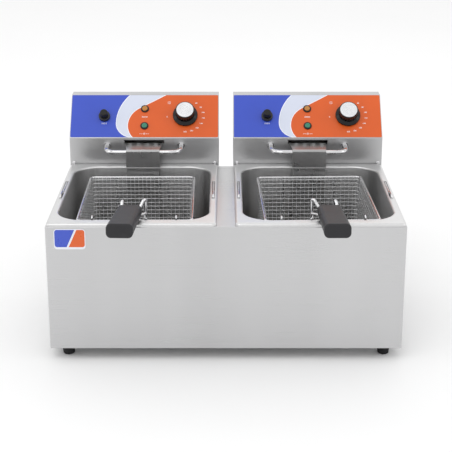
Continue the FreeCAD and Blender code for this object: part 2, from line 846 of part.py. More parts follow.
def capillary(side, place, body_depth):
    """Thin tube from a control on the panel to its bulb on the tank's floor, with the bulb."""
    end_y, end_z = panel_point(place[1], -body_depth)
    out_y, out_z = panel_point(place[1], -body_depth - capillary_drop)
    level = deck_z + element_exit_level
    rear_y = opening_rear - capillary_wall_gap
    near_x = side * capillary_half_spacing
    pitch = (opening_half - element_side_gap - element_inner_run) / 2
    bulb_x = side * (element_inner_run + pitch / 2)
    bulb_y = opening_rear - bulb_rear_gap
    solid = bent_rod([(place[0], end_y, end_z), (place[0], out_y, out_z), (place[0], out_y, level),
                      (near_x, out_y, level), (near_x, rear_y, level), (near_x, rear_y, element_z),
                      (bulb_x, rear_y, element_z), (bulb_x, bulb_y, element_z)],
                     capillary_radius, capillary_bend)
    bulb = bar((bulb_x, bulb_y, element_z), (bulb_x, bulb_y - bulb_length, element_z), bulb_radius)
    return solid.fuse(bulb)


def thermostat():
    """Control behind the knob: body, bush through the panel, tube and bulb."""
    body = disc(thermostat_radius, -sheet - thermostat_depth, -sheet)
    bush_top = overlay_thickness + sheet
    body = body.fuse(disc(bush_radius, -sheet, bush_top)).removeSplitter()
    bore_low = -sheet - shaft_engagement - shaft_radius
    body = body.cut(disc(shaft_radius + shaft_clearance, bore_low, bush_top))
    tube = capillary(1, knob_place, sheet + thermostat_depth)
    return on_panel(body, knob_place).fuse(tube).removeSplitter()


def thermal_cutout():
    """Over-temperature cut-out: body, bush and nut round the reset button, tube and bulb."""
    bush = reset_stem_radius + reset_clearance
    nut_top = overlay_thickness + reset_nut_height
    nut = disc(reset_nut_radius, overlay_thickness, nut_top)
    nut = nut.makeFillet(sheet, edges_level(nut, nut_top))
    body = disc(cutout_radius, -sheet - cutout_depth, -sheet)
    body = body.fuse(disc(bush + sheet, -sheet, overlay_thickness)).fuse(nut).removeSplitter()
    body = body.cut(disc(bush, -sheet - 3 * reset_travel, nut_top))
    tube = capillary(-1, reset_place, sheet + cutout_depth)
    return on_panel(body, reset_place).fuse(tube).removeSplitter()


def reset_button():
    """Round push button with a domed cap over its stem."""
    nut_top = overlay_thickness + reset_nut_height
    cap_low = nut_top + reset_travel + reset_clearance
    cap_top = cap_low + reset_cap_height
    cap = disc(reset_cap_radius, cap_low, cap_top)
    cap = cap.makeFillet(reset_cap_rounding, edges_level(cap, cap_top))
    stem = disc(reset_stem_radius, -sheet - reset_travel, cap_low)
    return on_panel(cap.fuse(stem).removeSplitter(), reset_place)


def knob():
    """Fluted knob with a round skirt, bored for its shaft and recessed for its cap."""
    low = overlay_thickness + knob_gap
    shoulder = low + knob_skirt_height
    top = low + knob_height
    waist = shoulder + knob_skirt_height
    skirt = disc(knob_skirt_radius, low, shoulder)
    skirt = skirt.makeFillet(sheet, edges_level(skirt, shoulder))
    cone = Part.makeCone(knob_skirt_radius - sheet, knob_grip_radius, waist - shoulder,
                         Vector(0, 0, shoulder))
    grip = disc(knob_grip_radius, waist, top)
    grip = grip.makeFillet(sheet, edges_level(grip, top))
    solid = skirt.fuse(cone).fuse(grip).removeSplitter()
    flutes = []
    for step in range(knob_flutes):
        flute = disc(knob_flute_radius, waist, top)
        flute.translate(Vector(knob_grip_radius + knob_flute_radius / 2, 0, 0))
        flute.rotate(Vector(0, 0, 0), Vector(0, 0, 1), step * 360 / knob_flutes)
        flutes.append(flute)
    solid = cut_all(solid, flutes)
    solid = solid.cut(disc(cap_radius, top - cap_recess, top))
    return on_panel(solid.cut(disc(shaft_radius, low, top - 3 * sheet)), knob_place)


def knob_cap():
    """Bright disc let into the top of the knob."""
    low = overlay_thickness + knob_gap + knob_height - cap_recess
    solid = disc(cap_radius, low, low + cap_thickness)
    solid = solid.makeFillet(cap_thickness / 4, edges_level(solid, low + cap_thickness))
    return on_panel(solid, knob_place)


def knob_shaft():
    """Spindle from the thermostat into the knob."""
    top = overlay_thickness + knob_gap + knob_height - 3 * sheet
    return on_panel(disc(shaft_radius, -sheet - shaft_engagement, top), knob_place)


def terminal_block():
    """Moulded block with a well for each wire's screw."""
    width, depth, height = terminal_size
    x, back = terminal_place
    y = head_front + back
    z = deck_z + sheet
    solid = box((x, x + width), (y, y + depth), (z, z + height))
    wells = []
    for pole in range(terminal_poles):
        place = Vector(x + width * (pole + 0.5) / terminal_poles, y + depth / 2, 0)
        wells.append(disc(screw_radius, z + height / 2, z + height).translated(place))
    return cut_all(solid, wells)


def safety_switch():
    """Micro-switch that breaks the supply when the head is lifted off."""
    width, depth, height = switch_size
    x, back = switch_place
    y = head_front + back
    z = deck_z + sheet
    body = box((x, x + width), (y, y + depth), (z, z + height))
    lever = box((x + sheet, x + width), (y + depth / 3, y + depth * 2 / 3),
                (z + height, z + height + sheet))
    return body.fuse(lever).removeSplitter()


def cable_gland():
    """Cable entry at the back: threaded body, dome nut outside and lock nut inside."""
    z = deck_z + gland_level
    inside = head_rear - sheet

    def ring(radius, low, high):
        return bar((gland_across, low, z), (gland_across, high, z), radius)

    solid = ring(gland_radius, head_rear + gland_nut_length - gland_length, head_rear)
    solid = solid.fuse(ring(gland_nut_radius, head_rear, head_rear + gland_nut_length))
    solid = solid.fuse(ring(gland_nut_radius, inside - gland_radius / 2, inside)).removeSplitter()
    rounded = [e for e in solid.Edges if e.BoundBox.YMin > head_rear + gland_nut_length - 0.01]
    solid = solid.makeFillet(2 * sheet, rounded)
    bore = ring(gland_bore_radius, head_rear - gland_length, head_rear + gland_length)
    return solid.cut(bore)


def cover_screws():
    """Screws of one head: six round its rear cover and two in its front wall."""
    solids = [screw(at, (0, 1, 0)) for at in cover_screw_places()]
    solids += [screw(at, (0, -1, 0)) for at in front_screw_places()]
    return Part.makeCompound(solids)


# Basket, made round its own middle with its rim at its real level --------------------------------

def ring_points(half_x, half_y, z):
    """Corners of a level rectangle round the basket's middle."""
    return [(-half_x, -half_y, z), (half_x, -half_y, z), (half_x, half_y, z), (-half_x, half_y, z)]


def basket_frame(shift, skew):
    """Rim wire, band wire, two stays under the mesh, handle rods, braces and front hooks."""
    rim_x = mesh_half_x + rim_wire_radius
    rim_y = mesh_half_y + rim_wire_radius
    band_z = basket_rim_z - band_wire_drop
    rim = ring_points(rim_x, rim_y, basket_rim_z)
    band = ring_points(mesh_half_x + band_wire_radius, mesh_half_y + band_wire_radius, band_z)
    solids = [bent_rod(rim, rim_wire_radius, basket_corner + rim_wire_radius, True),
              bent_rod(band, band_wire_radius, basket_corner + band_wire_radius, True)]
    stay_bend = basket_floor_bend + stay_wire_radius
    stay_y = mesh_half_y + stay_wire_radius
    stay_z = basket_base_z + stay_wire_radius
    for sign in (-1, 1):
        x = sign * stay_half_spacing
        stay = [(x, -stay_y, basket_rim_z), (x, -stay_y, stay_z), (x, stay_y, stay_z),
                (x, stay_y, basket_rim_z)]
        solids.append(bent_rod(stay, stay_wire_radius, stay_bend))
        grip_y = -basket_half_y - grip_start
        grip_x = shift + sign * rod_grip_half_spacing
        end_x = grip_x - math.tan(math.radians(skew)) * grip_length / 2
        level = deck_z + grip_top_level - grip_rear_height / 2
        end_z = level + math.tan(math.radians(grip_rise_angle)) * grip_length / 2
        rod_x = sign * rod_half_spacing
        rod_y = mesh_half_y + rod_radius
        jog_z = basket_rim_z + rod_jog_rise
        solids.append(bent_rod([(rod_x, -rod_y, band_z), (rod_x, -rod_y, jog_z),
                                (rod_x, rod_jog - rod_y, jog_z + rod_jog),
                                (rod_x, rod_jog - rod_y, deck_z + rod_apex_level),
                                (grip_x, grip_y, level), (end_x, grip_y - grip_length / 2, end_z)],
                               rod_radius, rod_bend))
        brace_x = sign * brace_half_spacing
        brace_z = deck_z + brace_level
        solids.append(bent_rod([(brace_x, -rim_y, basket_rim_z), (brace_x, -rim_y, brace_z),
                                (grip_x, grip_y - 2 * brace_bend, brace_z + brace_radius)],
                               brace_radius, brace_bend))
        hook_x = sign * hook_half_spacing
        hook_z = basket_rim_z + hook_rise
        solids.append(bent_rod([(hook_x, -rim_y, basket_rim_z), (hook_x, -rim_y, hook_z),
                                (hook_x, -rim_y - hook_reach, hook_z),
                                (hook_x, -rim_y - hook_reach, basket_rim_z)],
                               hook_radius, 2 * hook_radius))
    return solids[0].multiFuse(solids[1:]).removeSplitter()


def basket_mesh():
    """Walls and floor of the basket as one thin open tub."""
    low = basket_base_z + 2 * stay_wire_radius
    skins = []
    for inset in (0, mesh_thickness):
        skin = rounded_block((inset - mesh_half_x, mesh_half_x - inset),
                             (inset - mesh_half_y, mesh_half_y - inset),
                             (low + inset, basket_rim_z), basket_corner - inset)
        skins.append(skin.makeFillet(basket_floor_bend - inset, edges_level(skin, low + inset)))
    return skins[0].cut(skins[1])


def basket_grip(shift, skew):
    """Tapered plastic grip, wider at its front end, rising towards it and a little askew."""
    sections = []
    for share in (0.0, 0.5, 1.0):
        width = grip_rear_width + share * (grip_front_width - grip_rear_width)
        height = grip_rear_height + share * (grip_front_height - grip_rear_height)
        slab = box((-width / 2, width / 2), (0, 1), (-height, 0))
        slab = slab.makeFillet(grip_rounding, [e for e in slab.Edges if e.BoundBox.YLength > 0.5])
        outline = [f for f in slab.Faces if f.BoundBox.YMax < 0.01][0].OuterWire
        sections.append(outline.translated(Vector(0, -share * grip_length, 0)))
    solid = Part.makeLoft(sections, True, True)
    ends = []
    for edge in solid.Edges:
        if edge.BoundBox.YLength < 0.01:
            if edge.BoundBox.YMax > -0.01 or edge.BoundBox.YMin < 0.01 - grip_length:
                ends.append(edge)
    solid = solid.makeFillet(grip_end_rounding, ends)
    solid.rotate(Vector(0, 0, 0), Vector(1, 0, 0), -grip_rise_angle)
    solid.rotate(Vector(0, 0, 0), Vector(0, 0, 1), -skew)
    return solid.translated(Vector(shift, -basket_half_y - grip_start, deck_z + grip_top_level))


# The whole object ------------------------------------------------------------------------------

def assemble():
    """Every node of the fryer by name."""
    nodes = {
        "casing_wrap": casing_wrap(),
        "deck": deck(),
        "rear_panel": rear_panel(),
        "base_plate": base_plate(),
        "feet": feet(),
        "cabinet_screws": cabinet_screws(),
        "head_brackets": head_brackets(),
        "badge": badge(),
    }
    module = {
        "tank": tank(),
        "head_shell": head_shell(),
        "head_rear_cover": head_rear_cover(),
        "panel_overlay": panel_overlay(),
        "lamp_bezels": lamp_bezels(),
        "heat_lens": lamp_lens(heat_place),
        "power_lens": lamp_lens(power_place),
        "hanger_bar": hanger_bar(),
        "element_guard": element_guard(),
        "element_shroud": element_shroud(),
        "heating_element": heating_element(),
        "thermostat": thermostat(),
        "thermal_cutout": thermal_cutout(),
        "terminal_block": terminal_block(),
        "safety_switch": safety_switch(),
        "cable_gland": cable_gland(),
        "cover_screws": cover_screws(),
        "knob": knob(),
        "knob_cap": knob_cap(),
        "knob_shaft": knob_shaft(),
        "reset_button": reset_button(),
    }
    for side, x in modules.items():
        for name, solid in module.items():
            nodes[f"{name}_{side}"] = solid.translated(Vector(x, 0, 0))
        outward = bail_x if x > 0 else -bail_x
        nodes[f"bail_outer_{side}"] = bail(x + outward)
        nodes[f"bail_inner_{side}"] = bail(x - outward)
        frame = basket_frame(grip_shifts[side], grip_skews[side])
        grip = basket_grip(grip_shifts[side], grip_skews[side]).cut(frame)
        basket = {"basket_frame": frame, "basket_mesh": basket_mesh(), "basket_grip": grip}
        for name, solid in basket.items():
            solid.rotate(Vector(0, 0, 0), Vector(0, 0, 1), basket_yaws[side])
            place = Vector(x + basket_offsets[side], basket_middle_y, 0)
            nodes[f"{name}_{side}"] = solid.translated(place)
    return nodes


nodes = assemble()
overall = Part.makeCompound(list(nodes.values())).BoundBox
shift_y = -(overall.YMin + overall.YMax) / 2
os.makedirs("parts", exist_ok=True)
for name, solid in nodes.items():
    solid.translated(Vector(0, shift_y, 0)).exportStep(f"parts/{name}.step")
print(len(nodes), "nodes; moved along Y by", round(shift_y, 3), "mm")
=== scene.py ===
"""Looks of a twin-tank counter-top deep fryer, laid out as an add-on and run as a script."""

import json
import math

import bpy
from bpy.props import FloatProperty, FloatVectorProperty, IntProperty, PointerProperty
from mathutils import Matrix, Vector


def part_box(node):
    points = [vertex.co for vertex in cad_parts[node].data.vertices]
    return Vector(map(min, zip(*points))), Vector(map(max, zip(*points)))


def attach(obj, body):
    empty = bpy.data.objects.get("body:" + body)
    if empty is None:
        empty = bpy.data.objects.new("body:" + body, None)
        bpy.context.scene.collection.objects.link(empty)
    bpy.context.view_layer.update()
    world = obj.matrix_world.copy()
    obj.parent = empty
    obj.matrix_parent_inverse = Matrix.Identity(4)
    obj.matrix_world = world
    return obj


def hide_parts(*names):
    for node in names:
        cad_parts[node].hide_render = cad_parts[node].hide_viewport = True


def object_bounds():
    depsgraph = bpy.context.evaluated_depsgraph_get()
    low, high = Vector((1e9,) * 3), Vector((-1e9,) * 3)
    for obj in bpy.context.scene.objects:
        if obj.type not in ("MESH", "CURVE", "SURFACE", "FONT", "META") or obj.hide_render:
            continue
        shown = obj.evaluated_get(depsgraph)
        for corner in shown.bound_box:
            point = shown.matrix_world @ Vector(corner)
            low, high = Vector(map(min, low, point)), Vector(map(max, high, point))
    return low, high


bl_info = {
    "name": "Twin-tank deep fryer",
    "version": (1, 0, 0),
    "blender": (4, 5, 0),
    "location": "View3D > Sidebar > Fryer",
    "description": "Gives a deep fryer its woven baskets, printed panels, finishes and studio",
    "category": "Object",
}

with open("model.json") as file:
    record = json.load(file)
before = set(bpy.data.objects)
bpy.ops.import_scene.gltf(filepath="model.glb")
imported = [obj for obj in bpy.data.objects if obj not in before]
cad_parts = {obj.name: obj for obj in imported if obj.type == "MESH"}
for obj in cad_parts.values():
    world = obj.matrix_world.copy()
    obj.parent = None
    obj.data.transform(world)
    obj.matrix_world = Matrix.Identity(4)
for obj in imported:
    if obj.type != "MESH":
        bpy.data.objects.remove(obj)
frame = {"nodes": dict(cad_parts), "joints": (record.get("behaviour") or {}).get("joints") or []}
cad_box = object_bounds()

SIDES = ("left", "right")
MM = 0.001


# Places taken from the frame ----------------------------------------------------------------------

def joint(name):
    """A joint of the frame by name."""
    return next(j for j in frame["joints"] if j["name"] == name)


def panel_matrix(side):
    """Sloping panel's own axes from the knob's middle: X across, Y up the slope and Z out."""
    turn = joint(f"knob_turn_{side}")
    out = -Vector(turn["axis"])
    across = Vector((1, 0, 0))
    upward = out.cross(across)
    matrix = Matrix((across, upward, out)).transposed().to_4x4()
    matrix.translation = Vector(turn["pos_m"])
    return matrix


def on_panel(side, point):
    """A point of the frame in the sloping panel's own axes."""
    return panel_matrix(side).inverted() @ Vector(point)


def box_middle(node):
    """Middle of a node's box."""
    low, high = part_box(node)
    return (low + high) / 2


# Sizes, finishes and studio that a user would change ----------------------------------------------

class FryerSizes(bpy.types.PropertyGroup):
    """Sizes of the pieces that are modelled around the frame."""
    mesh_pitch: FloatProperty(
        name="Mesh pitch", description="Distance between neighbouring basket wires",
        default=7 * MM, min=3 * MM, unit="LENGTH")
    mesh_wire: FloatProperty(
        name="Mesh wire", description="Radius of the woven basket wire",
        default=0.58 * MM, unit="LENGTH")
    mesh_crimp: FloatProperty(
        name="Crimp", description="How far each wire steps over the next one",
        default=0.6 * MM, unit="LENGTH")
    basket_corner: FloatProperty(
        name="Basket corner", description="Radius of the basket's upright corners",
        default=7 * MM, unit="LENGTH")
    basket_fold: FloatProperty(
        name="Basket fold", description="Radius between the basket's walls and floor",
        default=6 * MM, unit="LENGTH")
    basket_wall: FloatProperty(
        name="Basket wall", description="Thickness of the space that the woven wall fills",
        default=1.6 * MM, unit="LENGTH")
    left_turn: FloatProperty(
        name="Left turn", description="How far the left basket's front is turned to the right",
        default=math.radians(0.5), subtype="ANGLE")
    right_turn: FloatProperty(
        name="Right turn", description="How far the right basket's front is turned to the right",
        default=math.radians(1.7), subtype="ANGLE")
    number_size: FloatProperty(
        name="Number size", description="Height of the dial's numbers",
        default=3.8 * MM, unit="LENGTH")
    number_radius: FloatProperty(
        name="Number radius", description="Radius of the ring of dial numbers",
        default=32.8 * MM, unit="LENGTH")
    print_thickness: FloatProperty(
        name="Print thickness", description="Thickness of the raised print",
        default=0.06 * MM, unit="LENGTH")
    heat_sign_drop: FloatProperty(
        name="Heat sign drop", description="Distance of the heat sign below its lamp",
        default=16.4 * MM, unit="LENGTH")
    power_sign_drop: FloatProperty(
        name="Power sign drop", description="Distance of the power sign below its lamp",
        default=16 * MM, unit="LENGTH")
    reset_sign_drop: FloatProperty(
        name="Reset sign drop", description="Distance of the reset sign below its button",
        default=13.8 * MM, unit="LENGTH")
    plate_sign_place: FloatVectorProperty(
        name="Plate sign", description="Place of the plate sign across and up from the dial",
        default=(-29.4 * MM, 27 * MM), size=2, unit="LENGTH")
    # The next two set the tank steel's painted shade, darker towards the tank's floor: full up to a
    # height over the floor, gone at a depth under the rim.
    film_low: FloatProperty(
        name="Full film", description="Height over the tank's floor up to which the film is full",
        default=35 * MM, unit="LENGTH")
    film_high: FloatProperty(
        name="No film", description="Depth under the tank's rim at which the film ends",
        default=35 * MM, unit="LENGTH")


class FryerFinish(bpy.types.PropertyGroup):
    """Colours of the fryer's finishes."""
    steel: FloatVectorProperty(
        name="Steel", description="Brushed cabinet steel", subtype="COLOR",
        default=(0.565, 0.565, 0.57), min=0, max=1)
    tank: FloatVectorProperty(
        name="Tank", description="Drawn tank steel", subtype="COLOR",
        default=(0.68, 0.68, 0.68), min=0, max=1)
    wire: FloatVectorProperty(
        name="Wire", description="Bright wire and rod", subtype="COLOR",
        default=(0.72, 0.72, 0.73), min=0, max=1)
    blue: FloatVectorProperty(
        name="Blue", description="Blue print of the panels", subtype="COLOR",
        default=(0.038, 0.082, 0.53), min=0, max=1)
    white: FloatVectorProperty(
        name="White", description="Pale print of the panels", subtype="COLOR",
        default=(0.66, 0.70, 0.82), min=0, max=1)
    orange: FloatVectorProperty(
        name="Orange", description="Orange print of the panels", subtype="COLOR",
        default=(0.70, 0.105, 0.010), min=0, max=1)
    black: FloatVectorProperty(
        name="Black", description="Black plastic and rubber", subtype="COLOR",
        default=(0.010, 0.010, 0.011), min=0, max=1)
    amber: FloatVectorProperty(
        name="Amber", description="Lens of the heating lamp", subtype="COLOR",
        default=(0.46, 0.18, 0.02), min=0, max=1)
    green: FloatVectorProperty(
        name="Green", description="Lens of the power lamp", subtype="COLOR",
        default=(0.015, 0.20, 0.12), min=0, max=1)


class FryerStudio(bpy.types.PropertyGroup):
    """Camera and light."""
    camera_distance: FloatProperty(
        name="Camera distance", description="From the cabinet's front face to the camera",
        default=1.8345, unit="LENGTH")
    camera_height: FloatProperty(
        name="Camera height", description="Camera above the worktop", default=0.8428, unit="LENGTH")
    camera_dip: FloatProperty(
        name="Camera dip", description="How far the camera looks down",
        default=math.radians(18.6), subtype="ANGLE")
    lens: FloatProperty(name="Lens", description="Focal length in millimetres", default=100.0)
    key_power: FloatProperty(name="Key light", description="Power in watts", default=9.0)
    side_power: FloatProperty(name="Side lights", description="Power in watts", default=4.0)
    sky: FloatProperty(name="Sky", description="Brightness of the white surroundings", default=0.98)
    floor_size: FloatProperty(
        name="Floor", description="Width of the floor", default=14.0, unit="LENGTH")


# Shader building ----------------------------------------------------------------------------------

class Number:
    """A number socket that takes part in sums."""

    def __init__(self, shader, socket):
        self.shader = shader
        self.socket = socket

    def sum(self, operation, *values, **settings):
        return self.shader.maths(operation, self, *values, **settings)

    def __add__(self, other):
        return self.sum("ADD", other)

    def __sub__(self, other):
        return self.sum("SUBTRACT", other)

    def __rsub__(self, other):
        return self.shader.maths("SUBTRACT", other, self)

    def __mul__(self, other):
        return self.sum("MULTIPLY", other)

    def __gt__(self, other):
        return self.sum("GREATER_THAN", other)

    def __lt__(self, other):
        return self.sum("LESS_THAN", other)

    __radd__ = __add__
    __rmul__ = __mul__

    def clamped(self):
        return self.sum("ADD", 0.0, use_clamp=True)

    def fade(self, low, high):
        """0 below low and 1 above high, with a soft step between."""
        node = self.shader.node("ShaderNodeMapRange", {"interpolation_type": "SMOOTHSTEP"},
                                {"Value": self, "From Min": low, "From Max": high})
        return Number(self.shader, node.outputs["Result"])


class Shader:
    """A material under construction."""

    def __init__(self, name):
        self.material = bpy.data.materials.new(name)
        self.material.use_nodes = True
        self.tree = self.material.node_tree
        self.surface = self.tree.nodes["Principled BSDF"]
        self.coordinates = self.node("ShaderNodeTexCoord")
        self.place = self.coordinates.outputs["Object"]

    def node(self, kind, settings=None, values=None):
        """Any node: its settings first, and then values or links for its sockets."""
        made = self.tree.nodes.new(kind)
        for key, value in (settings or {}).items():
            setattr(made, key, value)
        for key, value in (values or {}).items():
            self.feed(made.inputs[key], value)
        return made

    def feed(self, socket, value):
        """Put a value or a link into a socket."""
        if isinstance(value, Number):
            value = value.socket
        if isinstance(value, bpy.types.NodeSocket):
            self.tree.links.new(value, socket)
        else:
            socket.default_value = value

    def maths(self, operation, *values, use_clamp=False):
        node = self.node("ShaderNodeMath", {"operation": operation, "use_clamp": use_clamp},
                         dict(enumerate(values)))
        return Number(self, node.outputs[0])

    def vector(self, operation, *values):
        """Vector Math on places or directions, given as sockets or as three numbers."""
        node = self.node("ShaderNodeVectorMath", {"operation": operation}, dict(enumerate(values)))
        if operation in ("DOT_PRODUCT", "LENGTH", "DISTANCE"):
            return Number(self, node.outputs["Value"])
        return node.outputs["Vector"]

    def noise(self, scale, detail, stretch=(1, 1, 1), roughness=0.5):
        """Noise from 0 to 1 over the object, stretched along an axis where stretch is small."""
        vector = self.vector("MULTIPLY", self.place, stretch)
        node = self.node("ShaderNodeTexNoise", None, {
            "Vector": vector, "Scale": scale, "Detail": detail, "Roughness": roughness})
        return Number(self, node.outputs["Fac"])

    def axis(self, index):
        """One coordinate of the place on the object."""
        node = self.node("ShaderNodeSeparateXYZ", None, {0: self.place})
        return Number(self, node.outputs[index])

    def facing(self, direction):
        """How far the surface's own normal points along a direction, either way."""
        normal = self.coordinates.outputs["Normal"]
        return self.vector("DOT_PRODUCT", normal, direction).sum("ABSOLUTE")

    def mix(self, factor, first, second):
        """Colour between two colours."""
        node = self.node("ShaderNodeMix", {"data_type": "RGBA"}, {
            0: factor, 6: self.colour(first), 7: self.colour(second)})
        return node.outputs[2]

    @staticmethod
    def colour(value):
        """Three numbers as a colour with full alpha; a socket as it is."""
        if isinstance(value, bpy.types.NodeSocket):
            return value
        return (*value[:3], 1.0)

    def bump(self, height, strength, distance):
        """Normal from a height."""
        values = {"Height": height, "Strength": strength, "Distance": distance}
        return self.node("ShaderNodeBump", None, values).outputs["Normal"]

    def set(self, **values):
        """Sockets of the Principled shader by name, with _ for a space."""
        for key, value in values.items():
            socket = self.surface.inputs[key.replace("_", " ")]
            self.feed(socket, self.colour(value) if socket.type == "RGBA" else value)
        return self.material


def shade(colour, factor):
    """A colour made lighter or darker."""
    return tuple(min(1.0, part * factor) for part in colour)


# Finishes -----------------------------------------------------------------------------------------

def brushed_steel(name, colour, rough, grain=0.5, painted_streak_strength=0.10):
    """Sheet steel brushed sideways, with soft upright painted reflection streaks, haze and faint
    handling marks.
    """
    s = Shader(name)
    lines = s.vector("MULTIPLY", s.place, (5.0, 5.0, 900.0))
    deck_lines = s.vector("MULTIPLY", s.place, (5.0, 900.0, 900.0))
    pick = s.node("ShaderNodeMix", {"data_type": "VECTOR"}, {
        0: s.facing((0, 0, 1)) > 0.7, 4: lines, 5: deck_lines})
    brushed = s.node("ShaderNodeTexNoise", None, {
        "Vector": pick.outputs[1], "Scale": 1.0, "Detail": 4.0, "Roughness": 0.65})
    strokes = Number(s, brushed.outputs["Fac"])
    # Painted reflection: soft upright stripes of lighter and darker colour stand in for the streaks
    # that brushed steel reflects.
    painted_streaks = s.noise(7.0, 2.0, (1.0, 1.0, 0.06))
    haze = s.noise(9.0, 3.0)
    # The tone mixes the painted reflection stripes with the steel's real grain and haze.
    tone = 0.5 + (painted_streaks - 0.5) * painted_streak_strength * 6 + (strokes - 0.5) * 0.35 + (haze - 0.5) * 0.2
    tone = tone.clamped()
    marks = s.noise(60.0, 5.0, (0.5, 0.5, 2.0), 0.7).fade(0.66, 0.78)
    return s.set(
        Base_Color=s.mix(tone, shade(colour, 0.90), shade(colour, 1.10)),
        Metallic=1.0,
        Roughness=rough + (strokes - 0.5) * 0.16 + (haze - 0.5) * 0.08 + marks * 0.05,
        Normal=s.bump(strokes, grain, 0.00006))


def drawn_steel(name, colour, rough, painted_shade_levels=None):
    """Drawn steel with faint drawing lines and a mottled haze.

    Painted shade, darker towards the bottom, is full below the first of the two levels and gone
    above the second.
    """
    s = Shader(name)
    drawn = s.noise(260.0, 3.0, (1.0, 1.0, 0.03))
    mottle = s.noise(34.0, 4.0)
    broad = s.noise(9.0, 2.0)
    tone = (0.45 + (drawn - 0.5) * 0.5 + (mottle - 0.5) * 0.3 + (broad - 0.5) * 0.4).clamped()
    clean = s.mix(tone, shade(colour, 0.88), shade(colour, 1.10))
    if painted_shade_levels:
        # Painted shade: the steel darkens towards the bottom, where the inside of the tank lies in
        # shade.
        painted_shade = 1 - s.axis(2).fade(*painted_shade_levels)
        clean = s.mix(painted_shade * 0.7, clean, shade(colour, 0.25))
    return s.set(
        Base_Color=clean,
        Metallic=1.0,
        Roughness=rough + (mottle - 0.5) * 0.14 + (drawn - 0.5) * 0.08,
        Normal=s.bump(drawn * 0.4 + mottle * 0.6, 0.35, 0.00012))


def bright_wire(name, colour, rough):
    """Polished rod and wire with a little tarnish."""
    s = Shader(name)
    tarnish = s.noise(90.0, 4.0)
    fine = s.noise(700.0, 2.0)
    return s.set(
        Base_Color=s.mix(tarnish, shade(colour, 0.82), shade(colour, 1.12)),
        Metallic=1.0,
        Roughness=rough + (tarnish - 0.5) * 0.16,
        Normal=s.bump(fine, 0.2, 0.00004))


def heated_steel(name):
    """Element sheath, browned and blued by heat."""
    s = Shader(name)
    cloud = s.noise(28.0, 4.0)
    fine = s.noise(420.0, 3.0)
    heat = s.mix(cloud.fade(0.35, 0.7), (0.30, 0.27, 0.24), (0.23, 0.18, 0.14))
    return s.set(
        Base_Color=s.mix((fine - 0.2).clamped(), heat, (0.36, 0.35, 0.35)),
        Metallic=1.0,
        Roughness=0.30 + (fine - 0.5) * 0.2,
        Normal=s.bump(fine, 0.3, 0.00005))


def copper(name, axis_level):
    """Bulb and tube of a control, with its black body and nut above a level."""
    s = Shader(name)
    cloud = s.noise(80.0, 4.0)
    above = s.axis(2) > axis_level
    metal = s.mix(cloud, (0.50, 0.24, 0.14), (0.66, 0.38, 0.24))
    grain = s.noise(900.0, 3.0)
    return s.set(
        Base_Color=s.mix(above, metal, (0.020, 0.020, 0.022)),
        Metallic=1 - above,
        Roughness=0.30 + (cloud - 0.5) * 0.2 + above * 0.05,
        Normal=s.bump(grain, 0.2, 0.00004))


def moulded(name, colour, rough, texture=0.35, scale=1100.0, wear=0.25):
    """Moulded plastic or rubber with a fine spark-eroded texture and a little wear."""
    s = Shader(name)
    spark = s.noise(scale, 3.0, roughness=0.6)
    cloud = s.noise(40.0, 4.0)
    rubbed = s.noise(70.0, 5.0).fade(0.58, 0.75) * wear
    return s.set(
        Base_Color=s.mix(rubbed, s.mix(cloud, shade(colour, 0.8), shade(colour, 1.25)),
                         shade(colour, 2.2)),
        Specular_IOR_Level=0.3,
        Roughness=rough + (cloud - 0.5) * 0.12 + (spark - 0.5) * 0.1,
        Normal=s.bump(spark, texture, 0.00008))


def coloured_lens(name, colour):
    """Coloured lens plastic with fine prisms and a glossy coat."""
    s = Shader(name)
    prism = s.noise(1500.0, 2.0, (1.0, 0.2, 0.2))
    cloud = s.noise(300.0, 2.0)
    return s.set(
        Base_Color=s.mix(prism, shade(colour, 0.55), shade(colour, 1.5)),
        Roughness=0.12 + (cloud - 0.5) * 0.06,
        Coat_Weight=0.6,
        Normal=s.bump(prism, 0.25, 0.0001))


def spun_metal(name, side):
    """Bright cap turned on a lathe: fine rings about the knob's own axis."""
    s = Shader(name)
    matrix = panel_matrix(side)
    away = s.vector("SUBTRACT", s.place, tuple(matrix.translation))
    radius = s.vector("LENGTH", s.vector("CROSS_PRODUCT", away, tuple(matrix.col[2][:3])))
    rings = (radius * 9000.0).sum("SINE")
    coarse = (radius * 2100.0).sum("SINE")
    cloud = s.noise(200.0, 3.0)
    return s.set(
        Base_Color=s.mix((0.5 + coarse * 0.2 + (cloud - 0.5)).clamped(),
                         (0.68, 0.69, 0.71), (0.86, 0.87, 0.89)),
        Metallic=0.85,
        Roughness=0.32 + rings * 0.06,
        Normal=s.bump(rings * 0.5 + coarse * 0.5, 0.5, 0.00006))


def arc_gap(s, u, v, middle, radius):
    """Distance outside a circle on the panel; negative inside it."""
    flat = s.node("ShaderNodeCombineXYZ", None, {0: u - middle[0], 1: v - middle[1]})
    return s.vector("LENGTH", flat.outputs[0]) - radius


